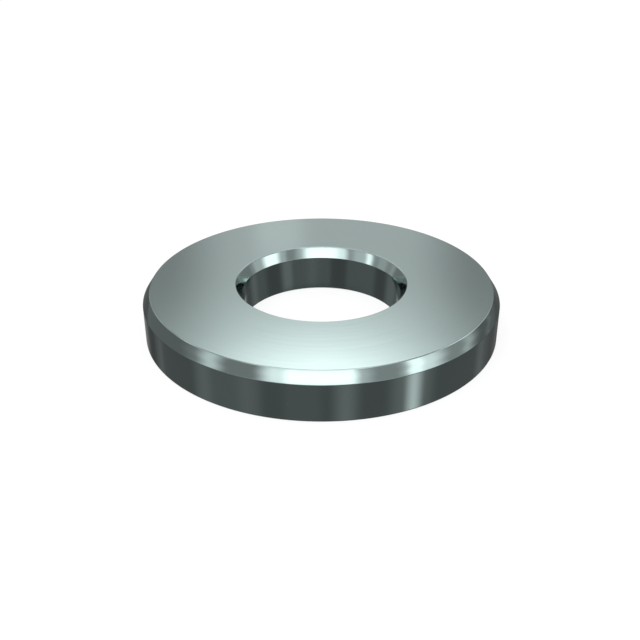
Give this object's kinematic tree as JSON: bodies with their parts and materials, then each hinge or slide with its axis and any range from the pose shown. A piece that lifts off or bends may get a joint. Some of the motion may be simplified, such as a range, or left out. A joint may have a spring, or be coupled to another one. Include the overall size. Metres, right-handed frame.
{
  "type": "thick chamfered flat washer",
  "caption": "Thick round flat washer in steel, with a chamfered rim and a chamfered bore at its upper face. It spreads the load under a screw head or nut.",
  "frame": {"origin": "centre of the underside, on the bore's axis", "axes": "+Z along the bore's axis, out of the chamfered face"},
  "size_m": [0.03, 0.03, 0.004],
  "materials": {
    "steel": "satin bright steel with a cool grey-green cast, and fine turned lines round the axis"
  },
  "bodies": {
    "root": {"washer": "steel"}
  },
  "joints": []
}
